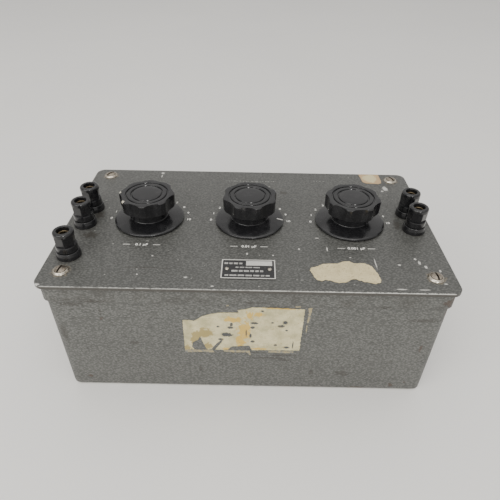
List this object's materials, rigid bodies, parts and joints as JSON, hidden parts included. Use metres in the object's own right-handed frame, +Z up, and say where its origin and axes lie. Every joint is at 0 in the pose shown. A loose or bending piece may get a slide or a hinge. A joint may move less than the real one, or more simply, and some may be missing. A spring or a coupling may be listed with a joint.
{
  "type": "decade capacitance box",
  "caption": "Bench decade capacitance box: cast grey enamel case, three fluted rotary dials, five screw-down binding posts.",
  "frame": {"origin": "centre of the box's bottom face", "axes": "+X to the right along the panel, +Y towards the panel's back edge, +Z up out of the panel"},
  "size_m": [0.2414, 0.1396, 0.1121],
  "materials": {
    "hammertone_enamel": "grey hammertone enamel, satin",
    "nickel_plate": "dulled nickel plate",
    "etched_plate": "black etched aluminium with bright rim",
    "black_bakelite": "polished black phenolic moulding",
    "brass": "aged turned brass",
    "tinned_metal": "tinned copper",
    "laminate": "brown phenolic laminate",
    "steel": "zinc-plated steel",
    "capacitor_can": "drawn can, matt",
    "capacitor_moulding": "brown moulded case"
  },
  "bodies": {
    "case": {"case_box": "hammertone_enamel", "top_panel": "hammertone_enamel", "panel_screws": "nickel_plate", "cup_washers": "nickel_plate", "plate_rivets": "nickel_plate", "bushing_nuts": "nickel_plate", "post_nuts": "nickel_plate", "data_plate": "etched_plate", "post_bases": "black_bakelite", "post_studs": "brass", "switch_bushings": "brass", "contacts_tenths": "brass", "contacts_hundredths": "brass", "contacts_thousandths": "brass", "solder_lugs": "tinned_metal", "bus_wire_high": "tinned_metal", "bus_wire_low": "tinned_metal", "ground_wire": "tinned_metal", "post_washers": "laminate", "wafer_tenths": "laminate", "wafer_hundredths": "laminate", "wafer_thousandths": "laminate", "capacitor_board": "laminate", "lock_washers": "steel", "index_plates": "steel", "index_springs": "steel", "tie_screws": "steel", "tie_spacers": "steel", "tie_nuts": "steel", "board_standoffs": "steel", "board_screws": "steel", "capacitors_tenths": "capacitor_can", "capacitors_hundredths": "capacitor_moulding", "capacitors_thousandths": "capacitor_moulding"},
    "switch_tenths": {"knob_tenths": "black_bakelite", "set_screws_tenths": "nickel_plate", "shaft_tenths": "steel", "rotor_tenths": "laminate", "wiper_tenths": "brass"},
    "switch_hundredths": {"knob_hundredths": "black_bakelite", "set_screws_hundredths": "nickel_plate", "shaft_hundredths": "steel", "rotor_hundredths": "laminate", "wiper_hundredths": "brass"},
    "switch_thousandths": {"knob_thousandths": "black_bakelite", "set_screws_thousandths": "nickel_plate", "shaft_thousandths": "steel", "rotor_thousandths": "laminate", "wiper_thousandths": "brass"},
    "cap_rear_left": {"post_cap_rear_left": "black_bakelite"},
    "insert_rear_left": {"post_insert_rear_left": "brass"},
    "cap_mid_left": {"post_cap_mid_left": "black_bakelite"},
    "insert_mid_left": {"post_insert_mid_left": "brass"},
    "cap_front_left": {"post_cap_front_left": "black_bakelite"},
    "insert_front_left": {"post_insert_front_left": "brass"},
    "cap_rear_right": {"post_cap_rear_right": "black_bakelite"},
    "insert_rear_right": {"post_insert_rear_right": "brass"},
    "cap_front_right": {"post_cap_front_right": "black_bakelite"},
    "insert_front_right": {"post_insert_front_right": "brass"}
  },
  "joints": [
    {"name": "dial_tenths", "type": "hinge", "parent": "case", "child": "switch_tenths", "pos_m": [-0.067, 0, 0.0921], "axis": [0, 0, 1], "range_deg": [-72, 108]},
    {"name": "dial_hundredths", "type": "hinge", "parent": "case", "child": "switch_hundredths", "pos_m": [0, 0, 0.0921], "axis": [0, 0, 1], "range_deg": [0, 180]},
    {"name": "dial_thousandths", "type": "hinge", "parent": "case", "child": "switch_thousandths", "pos_m": [0.067, 0, 0.0921], "axis": [0, 0, 1], "range_deg": [-54, 126]},
    {"name": "lift_rear_left", "type": "slide", "parent": "case", "child": "insert_rear_left", "axis": [0, 0, 1], "range_m": [0, 0.005]},
    {"name": "unscrew_rear_left", "type": "hinge", "parent": "insert_rear_left", "child": "cap_rear_left", "pos_m": [-0.1083, 0.01165, 0.0921], "axis": [0, 0, 1], "range_deg": [0, 2268.22]},
    {"name": "lift_mid_left", "type": "slide", "parent": "case", "child": "insert_mid_left", "axis": [0, 0, 1], "range_m": [0, 0.005]},
    {"name": "unscrew_mid_left", "type": "hinge", "parent": "insert_mid_left", "child": "cap_mid_left", "pos_m": [-0.1083, -0.0074, 0.0921], "axis": [0, 0, 1], "range_deg": [0, 2268.22]},
    {"name": "lift_front_left", "type": "slide", "parent": "case", "child": "insert_front_left", "axis": [0, 0, 1], "range_m": [0, 0.005]},
    {"name": "unscrew_front_left", "type": "hinge", "parent": "insert_front_left", "child": "cap_front_left", "pos_m": [-0.1083, -0.0412, 0.0921], "axis": [0, 0, 1], "range_deg": [0, 2268.22]},
    {"name": "lift_rear_right", "type": "slide", "parent": "case", "child": "insert_rear_right", "axis": [0, 0, 1], "range_m": [0, 0.005]},
    {"name": "unscrew_rear_right", "type": "hinge", "parent": "insert_rear_right", "child": "cap_rear_right", "pos_m": [0.1083, 0.01165, 0.0921], "axis": [0, 0, 1], "range_deg": [0, 2268.22]},
    {"name": "lift_front_right", "type": "slide", "parent": "case", "child": "insert_front_right", "axis": [0, 0, 1], "range_m": [0, 0.005]},
    {"name": "unscrew_front_right", "type": "hinge", "parent": "insert_front_right", "child": "cap_front_right", "pos_m": [0.1083, -0.0074, 0.0921], "axis": [0, 0, 1], "range_deg": [0, 2268.22]}
  ],
  "couplings": [
    {"joint": "unscrew_rear_left", "follows": "lift_rear_left", "rad_per_m": 7915.8},
    {"joint": "unscrew_mid_left", "follows": "lift_mid_left", "rad_per_m": 7915.8},
    {"joint": "unscrew_front_left", "follows": "lift_front_left", "rad_per_m": 7915.8},
    {"joint": "unscrew_rear_right", "follows": "lift_rear_right", "rad_per_m": 7915.8},
    {"joint": "unscrew_front_right", "follows": "lift_front_right", "rad_per_m": 7915.8}
  ]
}
